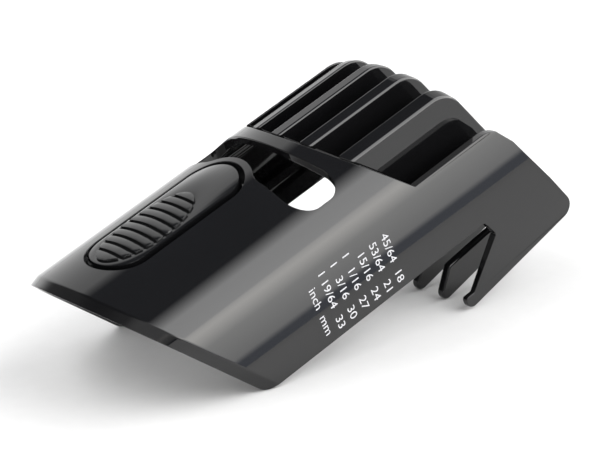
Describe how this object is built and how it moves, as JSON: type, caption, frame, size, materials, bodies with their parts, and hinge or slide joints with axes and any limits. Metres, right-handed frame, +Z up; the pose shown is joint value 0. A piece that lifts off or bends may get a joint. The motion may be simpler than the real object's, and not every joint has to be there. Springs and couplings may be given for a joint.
{
  "type": "hair clipper guide comb",
  "caption": "Adjustable slide-on guide comb for a hair clipper: arched sleeve with a window, parallel comb plates and a rocking lock button.",
  "frame": {"origin": "middle of the bounding box, on the surface that the comb lies on", "axes": "+X forward towards the teeth, +Y to the comb's left, +Z up; the comb lies on the rear corners of its side walls and on the toes of its teeth, so its sleeve rises forward by 17.2 degrees"},
  "size_m": [0.1108, 0.0466, 0.0464],
  "materials": {
    "black_plastic": "high gloss",
    "button_plastic": "gloss",
    "steel": "drawn"
  },
  "bodies": {
    "comb": {"sleeve_roof": "black_plastic", "crossbar": "black_plastic", "right_side_wall": "black_plastic", "left_side_wall": "black_plastic", "right_guide_rail": "black_plastic", "left_guide_rail": "black_plastic", "comb_plate_1": "black_plastic", "comb_plate_2": "black_plastic", "comb_plate_3": "black_plastic", "comb_plate_4": "black_plastic", "comb_plate_5": "black_plastic", "comb_plate_6": "black_plastic", "comb_plate_7": "black_plastic", "button_well": "black_plastic", "right_pivot_lug": "black_plastic", "left_pivot_lug": "black_plastic", "pivot_pin": "steel", "spring_bridge": "black_plastic", "front_stop": "black_plastic", "return_spring": "steel"},
    "button": {"lock_button": "button_plastic", "thumb_pad": "button_plastic", "right_button_ear": "button_plastic", "left_button_ear": "button_plastic", "catch_hook": "button_plastic"}
  },
  "joints": [
    {"name": "lock_button_rock", "type": "hinge", "parent": "comb", "child": "button", "pos_m": [-0.02497, 0, 0.02645], "axis": [0, -1, 0], "range_deg": [0, 5], "stiffness_Nm_per_rad": 0.4, "springref_deg": -4.98, "deforming": ["return_spring"]}
  ]
}
